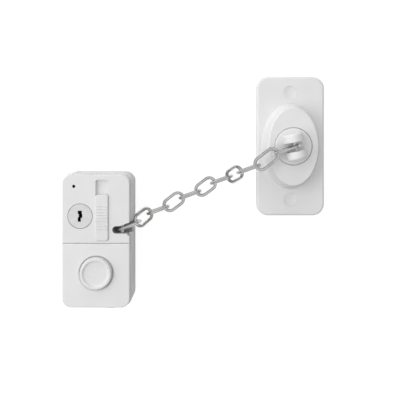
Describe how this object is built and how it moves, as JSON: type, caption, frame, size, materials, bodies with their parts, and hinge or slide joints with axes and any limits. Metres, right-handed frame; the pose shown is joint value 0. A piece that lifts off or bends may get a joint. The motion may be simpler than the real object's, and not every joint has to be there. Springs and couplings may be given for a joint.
{
  "type": "door chain alarm",
  "caption": "Alarm unit with a key switch, ribbed slide, bolt slot and round button, chained to a keeper plate with a turning swivel.",
  "frame": {"origin": "centre of the alarm unit's back face, on the mounting plane", "axes": "+X from the alarm unit towards the keeper, +Y along the slide's opening way, +Z out of the mounting face; the set lies on its back"},
  "size_m": [0.1871, 0.1632, 0.0297],
  "materials": {
    "white_plastic": "fine moulded satin",
    "chain_steel": "bright plated",
    "bolt_steel": "satin",
    "lock_metal": "satin",
    "fastener_steel": "satin",
    "inner_plastic": "matte",
    "black_plastic": "matte",
    "piezo_brass": "satin",
    "board": "satin",
    "lamp_resin": "gloss",
    "cell_jacket": "satin",
    "contact_metal": "bright"
  },
  "bodies": {
    "alarm": {"rear_body": "white_plastic", "front_cover": "white_plastic", "lock_barrel": "lock_metal", "key_switch": "black_plastic", "circuit_board": "board", "lamp": "lamp_resin", "slide_switch": "black_plastic", "button_board": "board", "button_switch": "black_plastic", "button_spring": "contact_metal", "sounder_can": "black_plastic", "piezo_disc": "piezo_brass", "cell_left": "cell_jacket", "cell_right": "cell_jacket", "contact_plates": "contact_metal", "contact_springs": "contact_metal", "case_screws": "fastener_steel"},
    "slide": {"slide_thumb": "white_plastic", "slide_carriage": "inner_plastic", "lock_bolt": "bolt_steel"},
    "key": {"key_plug": "lock_metal", "key_cam": "lock_metal", "cam_screw": "fastener_steel"},
    "battery_cover": {"battery_cover": "white_plastic"},
    "button": {"push_button": "white_plastic"},
    "chain_link_01": {"chain_link_01": "chain_steel"},
    "chain_link_02": {"chain_link_02": "chain_steel"},
    "chain_link_03": {"chain_link_03": "chain_steel"},
    "chain_link_04": {"chain_link_04": "chain_steel"},
    "chain_link_05": {"chain_link_05": "chain_steel"},
    "chain_link_06": {"chain_link_06": "chain_steel"},
    "chain_link_07": {"chain_link_07": "chain_steel"},
    "chain_link_08": {"chain_link_08": "chain_steel"},
    "chain_link_09": {"chain_link_09": "chain_steel"},
    "chain_link_10": {"chain_link_10": "chain_steel"},
    "chain_link_11": {"chain_link_11": "chain_steel"},
    "swivel": {"swivel": "white_plastic", "chain_pin": "chain_steel", "swivel_washer": "fastener_steel", "swivel_screw": "fastener_steel"},
    "keeper": {"keeper_plate": "white_plastic", "screw_cap_upper": "white_plastic", "screw_cap_lower": "white_plastic"}
  },
  "joints": [
    {"name": "slide_travel", "type": "slide", "parent": "alarm", "child": "slide", "axis": [0, 1, 0], "range_m": [0, 0.0103]},
    {"name": "key_turn", "type": "hinge", "parent": "alarm", "child": "key", "pos_m": [-0.0109, 0.0172, 0.025], "axis": [0, 0, 1], "range_deg": [-90, 0]},
    {"name": "battery_cover_lift", "type": "slide", "parent": "alarm", "child": "battery_cover", "axis": [0, 0, 1], "range_m": [0, 0.03]},
    {"name": "button_press", "type": "slide", "parent": "battery_cover", "child": "button", "axis": [0, 0, -1], "range_m": [0, 0.0015], "stiffness_N_per_m": 800, "springref_m": -0.001, "deforming": ["button_spring"]},
    {"name": "link_01_swing", "type": "hinge", "parent": "alarm", "child": "chain_link_01", "pos_m": [0.0174, 0.0082, 0.019], "axis": [-0.342, 0.9397, 0], "range_deg": [-60, 2]},
    {"name": "link_02_swing", "type": "hinge", "parent": "chain_link_01", "child": "chain_link_02", "pos_m": [0.02849, 0.01224, 0.01494], "axis": [-0.6437, -0.2343, -0.7285], "range_deg": [-28, 60]},
    {"name": "link_03_swing", "type": "hinge", "parent": "chain_link_02", "child": "chain_link_03", "pos_m": [0.03657, 0.01725, 0.00619], "axis": [0.342, -0.9397, 0], "range_deg": [-60, 60]},
    {"name": "link_04_swing", "type": "hinge", "parent": "chain_link_03", "child": "chain_link_04", "pos_m": [0.04878, 0.02169, 0.00575], "axis": [0, 0, 1], "range_deg": [-60, 60]},
    {"name": "link_05_swing", "type": "hinge", "parent": "chain_link_04", "child": "chain_link_05", "pos_m": [0.05972, 0.02846, 0.00575], "axis": [-0.342, 0.9397, 0], "range_deg": [-60, 60]},
    {"name": "link_06_swing", "type": "hinge", "parent": "chain_link_05", "child": "chain_link_06", "pos_m": [0.07188, 0.03289, 0.00644], "axis": [0.1488, 0.0542, -0.9874], "range_deg": [-60, 60]},
    {"name": "link_07_swing", "type": "hinge", "parent": "chain_link_06", "child": "chain_link_07", "pos_m": [0.08269, 0.03957, 0.00843], "axis": [0.342, -0.9397, 0], "range_deg": [-60, 60]},
    {"name": "link_08_swing", "type": "hinge", "parent": "chain_link_07", "child": "chain_link_08", "pos_m": [0.09337, 0.04346, 0.01345], "axis": [-0.7002, -0.2549, 0.6669], "range_deg": [-60, 60]},
    {"name": "link_09_swing", "type": "hinge", "parent": "chain_link_08", "child": "chain_link_09", "pos_m": [0.10079, 0.04806, 0.023], "axis": [-0.342, 0.9397, 0], "range_deg": [-60, 60]},
    {"name": "link_10_swing", "type": "hinge", "parent": "chain_link_09", "child": "chain_link_10", "pos_m": [0.11301, 0.05251, 0.023], "axis": [0, 0, -1], "range_deg": [-60, 60]},
    {"name": "link_11_swing", "type": "hinge", "parent": "chain_link_10", "child": "chain_link_11", "pos_m": [0.12601, 0.06086, 0.023], "axis": [0.342, -0.9397, 0], "range_deg": [-40, 60]},
    {"name": "swivel_nod", "type": "hinge", "parent": "chain_link_11", "child": "swivel", "pos_m": [0.13804, 0.06524, 0.023], "axis": [-0.2079, 0.9781, 0], "range_deg": [-80, 0]},
    {"name": "swivel_turn", "type": "hinge", "parent": "swivel", "child": "keeper", "pos_m": [0.13804, 0.06524, 0.0165], "axis": [0, 0, 1], "continuous": true}
  ]
}
